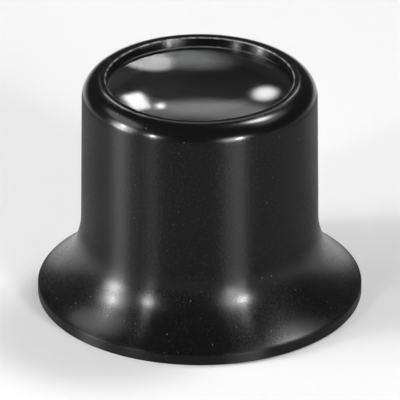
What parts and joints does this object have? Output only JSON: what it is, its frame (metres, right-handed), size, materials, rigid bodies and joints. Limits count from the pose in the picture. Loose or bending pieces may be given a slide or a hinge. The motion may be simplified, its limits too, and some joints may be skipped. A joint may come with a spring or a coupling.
{
  "type": "watchmaker loupe",
  "caption": "Eye-held magnifier: a black moulded horn with a flared eye cup and round-shouldered rim, a biconvex glass lens, and a threaded ring that holds the lens from inside.",
  "frame": {"origin": "centre of the flat foot of the eye flare, on the optical axis", "axes": "+Z along the optical axis, from the eye end to the lens rim; -Y towards the picture's camera"},
  "size_m": [0.04, 0.04, 0.029],
  "materials": {
    "body_plastic": "satin black, fine moulded grain",
    "lens_glass": "polished, uncoated crown glass",
    "ring_plastic": "matt black"
  },
  "bodies": {
    "horn": {"loupe_body": "body_plastic"},
    "glass": {"lens": "lens_glass"},
    "ring": {"retaining_ring": "ring_plastic"}
  },
  "joints": [
    {"name": "lens_drop", "type": "slide", "parent": "horn", "child": "glass", "axis": [0, 0, -1], "range_m": [0, 0.00206]},
    {"name": "ring_turn", "type": "hinge", "parent": "glass", "child": "ring", "pos_m": [0, 0, 0.024], "axis": [0, 0, -1], "range_deg": [0, 990]}
  ],
  "couplings": [
    {"joint": "ring_turn", "follows": "lens_drop", "rad_per_m": 8377.6}
  ]
}
